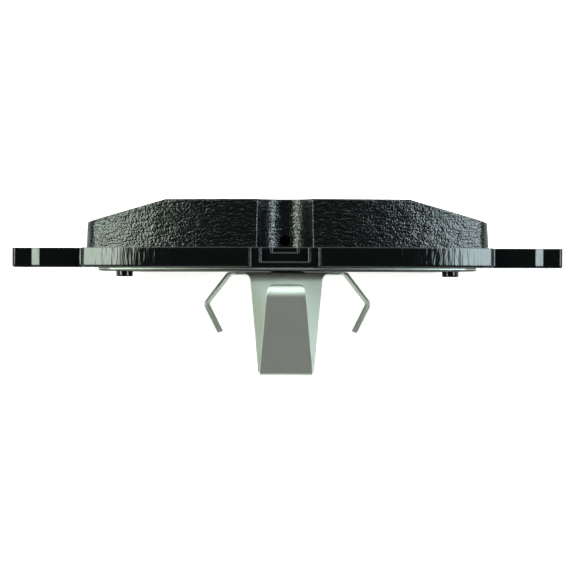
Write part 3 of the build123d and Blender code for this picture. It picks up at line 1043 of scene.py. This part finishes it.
class BRAKEPAD_OT_clip_fingers(bpy.types.Operator):
    """Side fingers that grip the piston's bore"""
    bl_idname = "brakepad.clip_fingers"
    bl_label = "Clip Fingers"

    def execute(self, context):
        for side, body, node in ((-1, "left_finger", "clip_finger_left"),
                                 (1, "right_finger", "clip_finger_right")):
            finger = build_finger(side, context.scene.clip_sizes)
            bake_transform(finger)
            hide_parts(node)
        return {"FINISHED"}


class BRAKEPAD_OT_clip_tongue(bpy.types.Operator):
    """Leaf and return leg of the clip's middle tongue"""
    bl_idname = "brakepad.clip_tongue"
    bl_label = "Clip Tongue"

    def execute(self, context):
        sizes = context.scene.clip_sizes
        leaf = build_leaf(sizes)
        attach(leaf, "pad")
        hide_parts("clip_tongue_leaf")
        leg = build_return(sizes)
        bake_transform(leg)
        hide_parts("clip_tongue_return")
        return {"FINISHED"}


def light_room(settings):
    """World: a softbox on each side, a wide glow behind the disc side, and a dark ceiling. The
    camera alone sees white beyond the floor."""
    world = bpy.data.worlds.new("light_room")
    world.use_nodes = True
    tree = world.node_tree
    tree.nodes.clear()
    direction = add_node(tree, "ShaderNodeTexCoord").outputs["Generated"]
    axes = add_node(tree, "ShaderNodeSeparateXYZ", {"Vector": direction})
    x, y, z = (axes.outputs[axis] for axis in "XYZ")
    sideways = add_node(tree, "ShaderNodeMath", {0: x}, operation="ABSOLUTE").outputs[0]
    lean = add_node(tree, "ShaderNodeMath", {0: sideways, 1: z}, operation="ARCTAN2").outputs[0]
    angle, half = settings.softbox_angle, settings.softbox_half_width
    softboxes = product(
        tree, fade(tree, lean, angle - half - SOFT_EDGE, angle - half),
        fade(tree, lean, angle + half, angle + half + SOFT_EDGE, 1.0, 0.0),
        fade(tree, y, *PISTON_END_FADE), fade(tree, y, *DISC_END_FADE, 1.0, 0.0),
        settings.softbox_radiance)
    tint = add_node(tree, "ShaderNodeMix", {
        "Factor": fade(tree, x, -TINT_BLEND, TINT_BLEND), 6: settings.left_light, 7: settings.right_light},
        data_type="RGBA")
    boxes = add_node(tree, "ShaderNodeBackground", {"Color": tint.outputs[2], "Strength": softboxes})
    behind = product(tree, fade(tree, y, *GLOW_FADE), settings.back_radiance)
    around = product(
        tree, fade(tree, z, *CEILING_FADE, WALL_RADIANCE, CEILING_RADIANCE),
        fade(tree, y, *DISC_SIDE_FADE, PISTON_SIDE_SHARE, 1.0))
    lit = add_node(tree, "ShaderNodeMath", {0: behind, 1: around}, operation="ADD").outputs[0]
    seen = add_node(tree, "ShaderNodeLightPath").outputs["Is Camera Ray"]
    shown = add_node(tree, "ShaderNodeMath", {0: lit, 1: seen}, operation="ADD").outputs[0]
    room = add_node(tree, "ShaderNodeBackground", {"Color": (1, 1, 1, 1), "Strength": shown})
    both = add_node(tree, "ShaderNodeAddShader", {0: boxes.outputs[0], 1: room.outputs[0]})
    add_node(tree, "ShaderNodeOutputWorld", {"Surface": both.outputs[0]})
    bpy.context.scene.world = world


class BRAKEPAD_OT_stage(bpy.types.Operator):
    """Pale floor, a room lit by two softboxes, and a camera over the pad's top edge"""
    bl_idname = "brakepad.stage"
    bl_label = "Stage"

    def execute(self, context):
        settings = context.scene.pad_stage
        bm = bmesh.new()
        bmesh.ops.create_grid(bm, x_segments=8, y_segments=8, size=FLOOR_HALF)
        floor = new_piece("floor", bm, [material(matte_floor)])
        floor.location = (0, 0, CAD_BOX[0][2])
        light_room(settings)
        camera = bpy.data.cameras.new("camera")
        camera.lens = settings.lens
        camera.sensor_width = 36
        camera.clip_start = 0.01
        camera.clip_end = 20
        holder = bpy.data.objects.new("camera", camera)
        holder.location = (CAMERA_X * MM, CAMERA_Y * MM, settings.camera_height)
        holder.rotation_euler = (0, 0, CAMERA_ROLL)
        context.scene.collection.objects.link(holder)
        context.scene.camera = holder
        context.scene.view_settings.view_transform = "Standard"
        return {"FINISHED"}


OPERATORS = [
    BRAKEPAD_OT_friction_material,
    BRAKEPAD_OT_backing_plate,
    BRAKEPAD_OT_shim,
    BRAKEPAD_OT_clip_base,
    BRAKEPAD_OT_clip_fingers,
    BRAKEPAD_OT_clip_tongue,
    BRAKEPAD_OT_stage,
]
SETTINGS = {
    "pad_sizes": PadSizes,
    "clip_sizes": ClipSizes,
    "pad_colours": PadColours,
    "pad_stage": StageSettings,
}


class BRAKEPAD_PT_parts(bpy.types.Panel):
    """Lists the pad's pieces and their sizes and colours"""
    bl_label = "Brake Pad"
    bl_space_type = "VIEW_3D"
    bl_region_type = "UI"
    bl_category = "Brake Pad"

    def draw(self, context):
        for operator in OPERATORS:
            self.layout.operator(operator.bl_idname)
        for name, group in SETTINGS.items():
            box = self.layout.box()
            for prop in group.__annotations__:
                box.prop(getattr(context.scene, name), prop)


def register():
    for group in SETTINGS.values():
        bpy.utils.register_class(group)
    for operator in OPERATORS:
        bpy.utils.register_class(operator)
    bpy.utils.register_class(BRAKEPAD_PT_parts)
    for name, group in SETTINGS.items():
        setattr(bpy.types.Scene, name, PointerProperty(type=group))


def unregister():
    for name in SETTINGS:
        delattr(bpy.types.Scene, name)
    bpy.utils.unregister_class(BRAKEPAD_PT_parts)
    for operator in reversed(OPERATORS):
        bpy.utils.unregister_class(operator)
    for group in reversed(SETTINGS.values()):
        bpy.utils.unregister_class(group)


def main():
    register()
    for operator in OPERATORS:
        group, name = operator.bl_idname.split(".")
        getattr(getattr(bpy.ops, group), name)()


if __name__ == "__main__":
    main()
